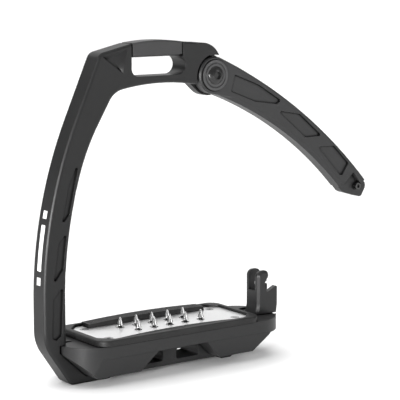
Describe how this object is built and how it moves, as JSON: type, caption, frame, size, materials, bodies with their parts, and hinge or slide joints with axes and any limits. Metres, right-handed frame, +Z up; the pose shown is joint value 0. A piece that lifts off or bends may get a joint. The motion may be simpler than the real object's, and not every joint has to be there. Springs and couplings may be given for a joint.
{
  "type": "safety stirrup iron",
  "caption": "Black safety stirrup iron: arch with a leather eye, an outer arm that swings open on a top hinge, a hooked latch post, and a rubber tread with a studded plate.",
  "frame": {"origin": "on the plane the stirrup stands on, under the middle of the tread", "axes": "+X across the tread from the closed branch to the opening arm, +Y from the front face (hinge cap) to the back, +Z up"},
  "size_m": [0.2123, 0.044, 0.1707],
  "materials": {
    "frame_black": "black satin powder coat over an aluminium forging",
    "bar_black": "black satin powder coat",
    "arm_black": "black satin powder coat",
    "base_black": "black satin powder coat over cast aluminium",
    "post_black": "black satin powder coat",
    "inlay_white": "plain white satin inlay",
    "rubber_black": "moulded rubber, slightly glossy",
    "plate_steel": "satin stainless sheet",
    "stud_steel": "turned and polished stainless",
    "cap_grey": "dark grey anodised, turned ring line",
    "screw_black": "glossy black oxide",
    "pin_steel": "dark oxidised steel",
    "fastener_steel": "zinc plated steel",
    "bush_bronze": "sintered bronze",
    "washer_nylon": "natural nylon"
  },
  "bodies": {
    "frame": {"arch_frame": "frame_black", "branch_stripe_inlay": "inlay_white", "strap_bar": "bar_black", "strap_bar_pin": "pin_steel", "strap_bar_dowel": "fastener_steel", "friction_washer": "washer_nylon", "rear_washer": "fastener_steel", "hinge_cap": "cap_grey", "pivot_screw": "screw_black", "pivot_nut": "fastener_steel", "latch_post": "post_black", "base_platform": "base_black", "tread_pad": "rubber_black", "tread_plate": "plate_steel", "tread_studs": "stud_steel", "tread_screws": "fastener_steel", "foot_screws": "fastener_steel", "post_screws": "fastener_steel"},
    "arm": {"safety_arm": "arm_black", "pivot_bush": "bush_bronze", "latch_pin": "pin_steel"}
  },
  "joints": [
    {"name": "arm_hinge", "type": "hinge", "parent": "frame", "child": "arm", "pos_m": [0.031, 0, 0.1514], "axis": [0, 1, 0], "range_deg": [-12, 39.1]}
  ]
}
